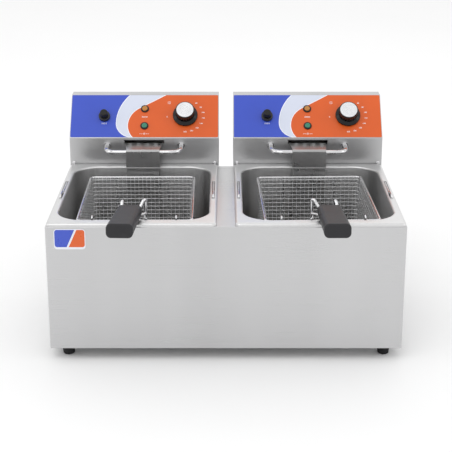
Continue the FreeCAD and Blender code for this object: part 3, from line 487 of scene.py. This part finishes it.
def panel_print(name, side):
    """Label printed blue and orange with a pale sweep between them, edged in white."""
    finish = bpy.context.scene.fryer_finish
    s = Shader(name)
    matrix = panel_matrix(side)
    middle = box_middle(f"panel_overlay_{side}").x
    away = s.vector("SUBTRACT", s.place, tuple(matrix.translation))
    u = s.axis(0) - middle
    v = s.vector("DOT_PRODUCT", away, tuple(matrix.col[1][:3]))

    # Blue ends at two arcs that meet where the pale sweep reaches furthest left.
    blue_level, blue_left = -15 * MM, -51.5 * MM
    blue_upper, blue_lower = 83.9 * MM, 29.65 * MM
    upper = arc_gap(s, u, v, (blue_left + blue_upper, blue_level), blue_upper)
    lower = arc_gap(s, u, v, (blue_left + blue_lower, blue_level), blue_lower)
    is_upper = v > blue_level
    blue_gap = is_upper * upper + (1 - is_upper) * lower
    left_half = u < blue_left + blue_lower
    blue = (blue_gap > 0.0) * left_half

    # Orange ends at two smaller arcs, the upper one running on as a straight line.
    turn_level, turn_left = -19.5 * MM, -29.8 * MM
    upper_radius, lower_radius = 40.2 * MM, 36.3 * MM
    slope = math.radians(30)
    tip = (turn_left + upper_radius * (1 - math.sin(slope)),
           turn_level + upper_radius * math.cos(slope))
    arc_up = arc_gap(s, u, v, (turn_left + upper_radius, turn_level), upper_radius)
    arc_down = arc_gap(s, u, v, (turn_left + lower_radius, turn_level), lower_radius)
    line = (v - tip[1]) * math.cos(slope) - (u - tip[0]) * math.sin(slope)
    past_tip = u > tip[0]
    above = v > turn_level
    gap_up = past_tip * line + (1 - past_tip) * arc_up
    past_middle = u > turn_left + lower_radius
    gap_down = past_middle * -1.0 + (1 - past_middle) * arc_down
    orange_gap = above * gap_up + (1 - above) * gap_down
    orange = orange_gap < 0.0

    edge = 1.1 * MM
    trim = ((blue_gap > -edge) * left_half + (orange_gap < edge)).clamped()
    pale = s.mix(trim, finish.white, (0.93, 0.94, 0.97))
    cloud = s.noise(25.0, 3.0)
    orange_ink = s.mix(cloud, shade(finish.orange, 0.93), shade(finish.orange, 1.06))
    blue_ink = s.mix(cloud, shade(finish.blue, 0.93), shade(finish.blue, 1.06))
    fine = s.noise(1600.0, 2.0)
    return s.set(
        Base_Color=s.mix(blue, s.mix(orange, pale, orange_ink), blue_ink),
        Roughness=0.34 + (cloud - 0.5) * 0.08,
        Normal=s.bump(fine, 0.12, 0.00004))


def badge_print(name):
    """Plain two-colour plate with a pale border."""
    finish = bpy.context.scene.fryer_finish
    s = Shader(name)
    low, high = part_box("badge")
    border, foot, corner = 1.2 * MM, 3.5 * MM, 4 * MM
    half_x, half_z = (high.x - low.x) / 2 - border, (high.z - low.z - border - foot) / 2
    x, z = s.axis(0) - (low.x + high.x) / 2, s.axis(2) - (high.z - border - half_z)
    beyond = s.node("ShaderNodeCombineXYZ", None, {
        0: (x.sum("ABSOLUTE") - half_x + corner).sum("MAXIMUM", 0.0),
        1: (z.sum("ABSOLUTE") - half_z + corner).sum("MAXIMUM", 0.0)})
    rim = s.vector("LENGTH", beyond.outputs[0]) > corner
    slant = x - z * 0.45 - 3 * MM
    split = slant.sum("ABSOLUTE") < 1.6 * MM
    ink = s.mix(slant > 0.0, finish.blue, finish.orange)
    cloud = s.noise(60.0, 3.0)
    return s.set(
        Base_Color=s.mix((rim + split).clamped(), ink, (0.78, 0.80, 0.86)),
        Roughness=0.28 + (cloud - 0.5) * 0.1,
        Coat_Weight=0.3)


def plain_print(name):
    """White ink."""
    s = Shader(name)
    cloud = s.noise(400.0, 3.0)
    return s.set(
        Base_Color=s.mix(cloud, (0.80, 0.80, 0.82), (0.95, 0.95, 0.95)),
        Roughness=0.4 + (cloud - 0.5) * 0.1)


def assign(nodes, material):
    """Give CAD nodes or pieces a material in place of what they have."""
    for item in nodes:
        target = frame["nodes"][item] if isinstance(item, str) else item
        target.data.materials.clear()
        target.data.materials.append(material)


def both(*names):
    """Left and right node of each name."""
    return [f"{name}_{side}" for name in names for side in SIDES]


# Modelling helpers --------------------------------------------------------------------------------

def pick_only(*objects):
    """Select these objects alone and make the first active."""
    if bpy.context.object and bpy.context.object.mode != "OBJECT":
        bpy.ops.object.mode_set(mode="OBJECT")
    bpy.ops.object.select_all(action="DESELECT")
    for item in objects:
        item.select_set(True)
    bpy.context.view_layer.objects.active = objects[0]


def settle(piece):
    """Put a piece's place into its mesh, so that its object is at the origin."""
    pick_only(piece)
    bpy.ops.object.transform_apply(location=True, rotation=True, scale=True)


def made(name):
    """The object that an operator has just added, under its own name."""
    piece = bpy.context.object
    piece.name = name
    piece.data.name = name
    return piece


def complete(piece, body, slot, material, *stands_for):
    """Hang a finished piece on its body with its material; its slot is not used."""
    assign([piece], material)
    settle(piece)
    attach(piece, body)
    if stands_for:
        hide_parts(*stands_for)
    return piece


def joined(name, parts):
    """Several meshes as one piece."""
    pick_only(*parts)
    if len(parts) > 1:
        bpy.ops.object.join()
    return made(name)


def as_mesh(item):
    """Turn a curve or a text into a mesh."""
    pick_only(item)
    bpy.ops.object.convert(target="MESH")
    return bpy.context.object


def wires(name, paths, radius):
    """Round wires along lists of points, each path a (points, closed) pair, as one mesh."""
    pick_only(frame["nodes"]["deck"])
    bpy.ops.object.select_all(action="DESELECT")
    bpy.ops.curve.primitive_nurbs_path_add()
    curve = bpy.context.object.data
    curve.splines.clear()
    curve.bevel_depth = radius
    curve.bevel_resolution = 1
    curve.use_fill_caps = True
    for points, closed in paths:
        spline = curve.splines.new("POLY")
        spline.points.add(len(points) - 1)
        for target, point in zip(spline.points, points):
            target.co = (*point, 1.0)
        spline.use_cyclic_u = closed
    as_mesh(bpy.context.object)
    bpy.ops.object.shade_smooth_by_angle(angle=math.radians(60))
    return made(name)


# Baskets ------------------------------------------------------------------------------------------

def basket_shape(side):
    """Middle, turn and half sizes of a basket's wall, worked back from its box."""
    sizes = bpy.context.scene.fryer_sizes
    low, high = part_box(f"basket_mesh_{side}")
    corner = sizes.basket_corner
    turn = sizes.right_turn if side == "right" else sizes.left_turn
    cos, sin = math.cos(abs(turn)), math.sin(abs(turn))
    wide = (high.x - low.x) / 2 - corner
    deep = (high.y - low.y) / 2 - corner
    square = cos * cos - sin * sin
    half_x = (wide * cos - deep * sin) / square + corner
    half_y = (deep * cos - wide * sin) / square + corner
    inset = sizes.basket_wall / 2
    return (low + high) / 2, turn, half_x - inset, half_y - inset, low.z + inset, high.z


def stations(half, pitch):
    """Evenly spaced places between -half and half, about a pitch apart."""
    count = round(2 * half / pitch)
    return [-half + 2 * half * (i + 0.5) / count for i in range(count)]


def levels_between(low, high, pitch):
    """Evenly spaced levels from high downwards, about a pitch apart."""
    count = round((high - low) / pitch)
    return [high - (i + 0.5) * (high - low) / count for i in range(count)]


def woven_basket(side):
    """Crimped wires over the floor and up the walls, with rings woven round the walls."""
    sizes = bpy.context.scene.fryer_sizes
    middle, turn, half_x, half_y, low, high = basket_shape(side)
    corner, fold, crimp = sizes.basket_corner, sizes.basket_fold, sizes.mesh_crimp
    xs = stations(half_x - corner, sizes.mesh_pitch)
    ys = stations(half_y - corner, sizes.mesh_pitch)
    zs = levels_between(low + fold, high, sizes.mesh_pitch)
    fold_angles = [math.radians(a) for a in (22.5, 45, 67.5)]

    def draped(across, half, index):
        """Outline of one wire: down a wall, over the floor and up the other wall."""
        outline = []
        for k, z in enumerate(zs):
            step = crimp if (index + k) % 2 else -crimp
            outline.append((-half - step, z))
        for angle in fold_angles:
            inwards, upwards = fold * (1 - math.cos(angle)), fold * (1 - math.sin(angle))
            outline.append((-half + inwards, low + upwards))
        for k, place in enumerate(across):
            step = crimp if (index + k) % 2 else -crimp
            outline.append((place, low + step))
        for angle in reversed(fold_angles):
            inwards, upwards = fold * (1 - math.cos(angle)), fold * (1 - math.sin(angle))
            outline.append((half - inwards, low + upwards))
        for k, z in reversed(list(enumerate(zs))):
            step = crimp if (index + k) % 2 else -crimp
            outline.append((half + step, z))
        top = (outline[0][0], high), (outline[-1][0], high)
        return [top[0], *outline, top[1]]

    paths = []
    for index, x in enumerate(xs):
        outline = draped(ys, half_y, index)
        paths.append(([(x, y, z) for y, z in outline], False))
    for index, y in enumerate(ys):
        outline = draped(xs, half_x, index + 1)
        paths.append(([(x, y, z) for x, z in outline], False))

    corner_angles = [math.radians(a) for a in (22.5, 67.5)]
    for k, z in enumerate(zs):
        ring = []
        walls = ((0, xs, half_y), (90, ys, half_x), (180, xs, half_y), (270, ys, half_x))
        for degrees, across, half in walls:
            spin = math.radians(degrees)
            reach = (half_y if across is ys else half_x) - corner
            for index, place in enumerate(across):
                parity = index + k + (0 if across is xs else 1)
                step = -crimp if parity % 2 else crimp
                ring.append(Matrix.Rotation(spin, 2) @ Vector((place, -half - step)))
            for angle in corner_angles:
                arm = Vector((reach + corner * math.sin(angle),
                              -half + corner * (1 - math.cos(angle))))
                ring.append(Matrix.Rotation(spin, 2) @ arm)
        paths.append(([(p.x, p.y, z) for p in ring], True))

    # Wires down each corner turn in under the floor, with one point partway round the fold.
    corner_wires = [math.radians(a) for a in (18, 45, 72)]
    turned_in, still_up = 0.7, 0.12
    for x_sign in (-1, 1):
        for y_sign in (-1, 1):
            for angle in corner_wires:
                x = x_sign * (half_x - corner + corner * math.sin(angle))
                y = y_sign * (half_y - corner + corner * math.cos(angle))
                inner_x = x_sign * (half_x - corner + (corner - fold) * math.sin(angle))
                inner_y = y_sign * (half_y - corner + (corner - fold) * math.cos(angle))
                points = [(x, y, high), (x, y, low + fold)]
                mid_x = x * (1 - turned_in) + inner_x * turned_in
                mid_y = y * (1 - turned_in) + inner_y * turned_in
                points.append((mid_x, mid_y, low + fold * still_up))
                points.append((inner_x, inner_y, low))
                paths.append((points, False))

    place = Matrix.Translation((middle.x, middle.y, 0)) @ Matrix.Rotation(turn, 4, "Z")
    placed = [([place @ Vector(point) for point in points], closed) for points, closed in paths]
    return wires(f"woven_mesh_{side}", placed, sizes.mesh_wire)


class FRYER_OT_baskets(bpy.types.Operator):
    """Weave both baskets and finish their frames and grips"""
    bl_idname = "fryer.baskets"
    bl_label = "Baskets"

    def execute(self, context):
        finish = context.scene.fryer_finish
        # The woven wire is the rods' wire colour made 1.3 times lighter: painted highlight for
        # light caught on its crimps.
        wire = bright_wire("Basket wire", shade(finish.wire, 1.3), 0.36)
        for side in SIDES:
            complete(woven_basket(side), f"basket_{side}", "wire_steel", wire,
                     f"basket_mesh_{side}")
        assign(both("basket_frame"), bright_wire("Basket rod", finish.wire, 0.14))
        assign(both("basket_grip"),
               moulded("Grip plastic", shade(finish.black, 2.2), 0.5, 0.5, 900.0))
        return {"FINISHED"}


# Cabinet, tanks and heads -------------------------------------------------------------------------

class FRYER_OT_cabinet(bpy.types.Operator):
    """Finish the cabinet, its brackets, screws, feet and badge"""
    bl_idname = "fryer.cabinet"
    bl_label = "Cabinet"

    def execute(self, context):
        finish = context.scene.fryer_finish
        # Cabinet steel: the last number sets the strength of its painted reflection streaks.
        assign(["casing_wrap", "deck", "rear_panel"],
               brushed_steel("Cabinet steel", finish.steel, 0.3, 0.5, 0.18))
        assign(["base_plate", "head_brackets"],
               brushed_steel("Underside steel", shade(finish.steel, 0.9), 0.34))
        assign(["cabinet_screws"], bright_wire("Cabinet screw", finish.wire, 0.22))
        assign(["feet"], moulded("Foot rubber", finish.black, 0.62, 0.5, 700.0))
        assign(["badge"], badge_print("Badge print"))
        return {"FINISHED"}


class FRYER_OT_tanks(bpy.types.Operator):
    """Finish the tanks and their lifting bails"""
    bl_idname = "fryer.tanks"
    bl_label = "Tanks"

    def execute(self, context):
        finish = context.scene.fryer_finish
        sizes = context.scene.fryer_sizes
        low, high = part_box("tank_left")
        # Levels of the painted shade that darkens the tanks' insides towards the floor.
        painted_shade = (low.z + sizes.film_low, high.z - sizes.film_high)
        assign(both("tank"), drawn_steel("Tank steel", shade(finish.tank, 1.05), 0.38, painted_shade))
        assign(both("bail_outer", "bail_inner"), bright_wire("Bail wire", finish.wire, 0.15))
        return {"FINISHED"}


class FRYER_OT_heads(bpy.types.Operator):
    """Finish the control heads, their guards, bars, elements and inner parts"""
    bl_idname = "fryer.heads"
    bl_label = "Heads"

    def execute(self, context):
        finish = context.scene.fryer_finish
        # Head steel: the last number makes its painted reflection streaks stronger than the
        # cabinet's.
        assign(both("head_shell", "head_rear_cover"),
               brushed_steel("Head steel", shade(finish.steel, 0.9), 0.34, 0.5, 0.5))
        # Guard steel is the tank steel made much darker: painted dark reflection of the tank that
        # the guard's face looks into.
        assign(both("element_guard", "element_shroud"),
               drawn_steel("Guard steel", shade(finish.tank, 0.62), 0.3))
        assign(both("hanger_bar"), bright_wire("Hanger rod", finish.wire, 0.12))
        assign(both("cover_screws", "knob_shaft"), bright_wire("Head screw", finish.wire, 0.2))
        assign(both("heating_element"), heated_steel("Element sheath"))
        body_level = (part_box("hanger_bar_left")[1].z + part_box("panel_overlay_left")[0].z) / 2
        assign(both("thermostat", "thermal_cutout"), copper("Control copper", body_level))
        assign(both("terminal_block"), moulded("Terminal plastic", (0.62, 0.60, 0.55), 0.4))
        black = moulded("Control plastic", finish.black, 0.38, 0.3)
        assign(both("safety_switch", "cable_gland", "lamp_bezels", "reset_button"), black)
        return {"FINISHED"}


# Printed panels, lamps and knobs ------------------------------------------------------------------

def lay_on_panel(item, side, across, up, lift):
    """Stand an item, made flat at the origin, on a sloping panel, measured from the knob."""
    on_slope = panel_matrix(side) @ Matrix.Translation((across, up, lift))
    item.matrix_world = on_slope @ item.matrix_world
    settle(item)
    return item


def printed_number(text, size, thickness):
    """A number as a thin mesh, its middle at the origin."""
    bpy.ops.object.select_all(action="DESELECT")
    bpy.ops.object.text_add()
    letter = bpy.context.object
    letter.data.body = text
    letter.data.size = size
    letter.data.align_x = "CENTER"
    letter.data.align_y = "CENTER"
    letter.data.extrude = thickness / 2
    letter.data.offset = size * 0.015
    letter.data.resolution_u = 3
    return as_mesh(letter)


def printed_ring(radius, width, thickness, corners=24):
    """A flat ring as a thin mesh, its middle at the origin."""
    bpy.ops.object.select_all(action="DESELECT")
    bpy.ops.mesh.primitive_circle_add(vertices=corners, radius=radius, fill_type="NGON")
    piece = bpy.context.object
    bpy.ops.object.mode_set(mode="EDIT")
    bpy.ops.mesh.select_all(action="SELECT")
    bpy.ops.mesh.inset(thickness=width)
    bpy.ops.mesh.delete(type="FACE")
    bpy.ops.mesh.select_all(action="SELECT")
    bpy.ops.mesh.extrude_region_move(TRANSFORM_OT_translate={"value": (0, 0, thickness)})
    bpy.ops.mesh.select_all(action="SELECT")
    bpy.ops.mesh.normals_make_consistent(inside=False)
    bpy.ops.object.mode_set(mode="OBJECT")
    return piece


def printed_bar(width, height, thickness, across, up):
    """A flat bar with clipped corners as a thin mesh."""
    bpy.ops.object.select_all(action="DESELECT")
    bpy.ops.mesh.primitive_cube_add(size=1.0, location=(across, up, thickness / 2))
    piece = bpy.context.object
    piece.scale = (width, height, thickness)
    settle(piece)
    bpy.ops.object.mode_set(mode="EDIT")
    bpy.ops.mesh.select_all(action="SELECT")
    bpy.ops.mesh.bevel(offset=min(width, height) * 0.2, segments=1)
    bpy.ops.object.mode_set(mode="OBJECT")
    return piece


def dial_marks(side):
    """Numbers round the knob, clockwise from the top, and a zero at the off position."""
    sizes = bpy.context.scene.fryer_sizes
    first, last, off = 37.0, 180.0, 266.0
    low, high, step = 60, 200, 20
    labels = [str(value) for value in range(low, high + 1, step)]
    marks = [(text, first + (last - first) * i / (len(labels) - 1))
             for i, text in enumerate(labels)]
    marks.append(("0", off))
    parts = []
    for text, degrees in marks:
        angle = math.radians(degrees)
        mark = printed_number(text, sizes.number_size, sizes.print_thickness)
        across, up = sizes.number_radius * math.sin(angle), sizes.number_radius * math.cos(angle)
        parts.append(lay_on_panel(mark, side, across, up, label_top(side)))
    return joined(f"dial_marks_{side}", parts)


def label_top(side):
    """Height of the printed label's face out of the sloping panel."""
    label = frame["nodes"][f"panel_overlay_{side}"]
    return max(on_panel(side, v.co).z for v in label.data.vertices)


def signs(side):
    """Plain signs by the lamps and the reset button, and a small plate sign by the dial."""
    sizes = bpy.context.scene.fryer_sizes
    thick = sizes.print_thickness
    top = label_top(side)
    parts = []

    def bars(width, height, xs=(0,), ys=(0,)):
        return [printed_bar(width * MM, height * MM, thick, x * MM, y * MM) for x in xs for y in ys]

    def ring(radius, width):
        return printed_ring(radius * MM, width * MM, thick)

    def place(made_parts, across, up):
        for part in made_parts:
            parts.append(lay_on_panel(part, side, across, up, top))

    def place_below(made_parts, node, drop):
        middle = on_panel(side, box_middle(node))
        place(made_parts, middle.x, middle.y - drop)

    heat = bars(0.7, 2.6, (-4.5, -3.0, -1.5, 0.0, 1.5, 3.0, 4.5))
    place_below(heat, f"heat_lens_{side}", sizes.heat_sign_drop)
    power = [ring(1.7, 0.5), *bars(0.6, 2.2, ys=(1.2,)), *bars(2.6, 0.6, (-7.2, -4.2, 4.2, 7.2))]
    place_below(power, f"power_lens_{side}", sizes.power_sign_drop)
    reset = [ring(1.5, 0.5), *bars(2.4, 0.6, (-3.6, 3.6), (-0.8, 0.8))]
    place_below(reset, f"reset_button_{side}", sizes.reset_sign_drop)
    plate = bars(4.4, 0.45, ys=(-2.1, 2.1)) + bars(0.45, 4.4, (-2.1, 2.1)) + bars(0.6, 2.4)
    place(plate, *sizes.plate_sign_place)
    return joined(f"panel_signs_{side}", parts)


class FRYER_OT_panels(bpy.types.Operator):
    """Print both sloping panels with their colours, numbers and signs"""
    bl_idname = "fryer.panels"
    bl_label = "Panels"

    def execute(self, context):
        ink = plain_print("White ink")
        for side in SIDES:
            assign([f"panel_overlay_{side}"], panel_print(f"Panel print {side}", side))
            for piece in (dial_marks(side), signs(side)):
                complete(piece, f"head_{side}", "overlay_print", ink)
        return {"FINISHED"}


class FRYER_OT_controls(bpy.types.Operator):
    """Finish the knobs and lamps"""
    bl_idname = "fryer.controls"
    bl_label = "Controls"

    def execute(self, context):
        finish = context.scene.fryer_finish
        assign(both("knob"),
               moulded("Knob plastic", shade(finish.black, 0.8), 0.16, 0.1, 600.0, 0.1))
        assign(both("heat_lens"), coloured_lens("Amber lens", finish.amber))
        assign(both("power_lens"), coloured_lens("Green lens", finish.green))
        for side in SIDES:
            assign([f"knob_cap_{side}"], spun_metal(f"Spun cap {side}", side))
        return {"FINISHED"}


# Stage --------------------------------------------------------------------------------------------

def area_light(name, place, aim, width, height, power):
    """Soft rectangular light aimed at a point."""
    bpy.ops.object.light_add(type="AREA", location=place)
    lamp = bpy.context.object
    lamp.name = name
    lamp.data.shape = "RECTANGLE"
    lamp.data.size = width
    lamp.data.size_y = height
    lamp.data.energy = power
    lamp.rotation_euler = (Vector(aim) - Vector(place)).to_track_quat("-Z", "Y").to_euler()
    return lamp


class FRYER_OT_stage(bpy.types.Operator):
    """Lay the floor, light the studio and place the camera"""
    bl_idname = "fryer.stage"
    bl_label = "Stage"

    def execute(self, context):
        studio = context.scene.fryer_studio
        bpy.ops.object.select_all(action="DESELECT")
        bpy.ops.mesh.primitive_plane_add(size=studio.floor_size, location=(0, 0, 0))
        floor = made("floor")
        s = Shader("Pale floor")
        cloud = s.noise(2.0, 2.0)
        s.set(Base_Color=s.mix(cloud, (0.94, 0.94, 0.94), (0.96, 0.96, 0.96)), Roughness=0.8)
        assign([floor], s.material)

        aim = (0, 0, cad_box[1].z / 2)
        area_light("key", (-0.9, -1.5, 2.4), aim, 1.8, 1.2, studio.key_power)
        area_light("left side", (-2.4, -0.4, 1.1), aim, 0.8, 1.8, studio.side_power)
        area_light("right side", (2.4, -0.4, 1.1), aim, 0.8, 1.8, studio.side_power)
        area_light("back", (0.3, 2.2, 2.0), aim, 2.0, 1.0, studio.side_power)

        world = bpy.data.worlds.new("White studio")
        context.scene.world = world
        world.use_nodes = True
        background = world.node_tree.nodes["Background"]
        background.inputs["Color"].default_value = (1, 1, 1, 1)
        background.inputs["Strength"].default_value = studio.sky

        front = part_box("casing_wrap")[0].y
        bpy.ops.object.camera_add(
            location=(0, front - studio.camera_distance, studio.camera_height),
            rotation=(math.pi / 2 - studio.camera_dip, 0, 0))
        camera = bpy.context.object
        camera.name = "camera"
        camera.data.lens = studio.lens
        camera.data.sensor_width = 36.0
        camera.data.clip_end = 50.0
        context.scene.camera = camera
        context.scene.view_settings.view_transform = "Standard"
        return {"FINISHED"}


# Panel and registration ---------------------------------------------------------------------------

OPERATORS = (FRYER_OT_cabinet, FRYER_OT_tanks, FRYER_OT_heads, FRYER_OT_panels, FRYER_OT_controls,
             FRYER_OT_baskets, FRYER_OT_stage)


class FRYER_PT_sidebar(bpy.types.Panel):
    """Sidebar panel with the fryer's steps and settings"""
    bl_label = "Deep fryer"
    bl_idname = "FRYER_PT_sidebar"
    bl_space_type = "VIEW_3D"
    bl_region_type = "UI"
    bl_category = "Fryer"

    def draw(self, context):
        for operator in OPERATORS:
            self.layout.operator(operator.bl_idname)
        for group in (context.scene.fryer_sizes, context.scene.fryer_finish,
                      context.scene.fryer_studio):
            box = self.layout.box()
            for name in group.__annotations__:
                box.prop(group, name)


CLASSES = (FryerSizes, FryerFinish, FryerStudio, *OPERATORS, FRYER_PT_sidebar)


def register():
    """Register the classes and hang the settings on the scene."""
    for item in CLASSES:
        bpy.utils.register_class(item)
    bpy.types.Scene.fryer_sizes = PointerProperty(type=FryerSizes)
    bpy.types.Scene.fryer_finish = PointerProperty(type=FryerFinish)
    bpy.types.Scene.fryer_studio = PointerProperty(type=FryerStudio)


def unregister():
    """Undo register."""
    for name in ("fryer_sizes", "fryer_finish", "fryer_studio"):
        delattr(bpy.types.Scene, name)
    for item in reversed(CLASSES):
        bpy.utils.unregister_class(item)


def main():
    register()
    for operator in OPERATORS:
        group, name = operator.bl_idname.split(".")
        getattr(getattr(bpy.ops, group), name)()


if __name__ == "__main__":
    main()
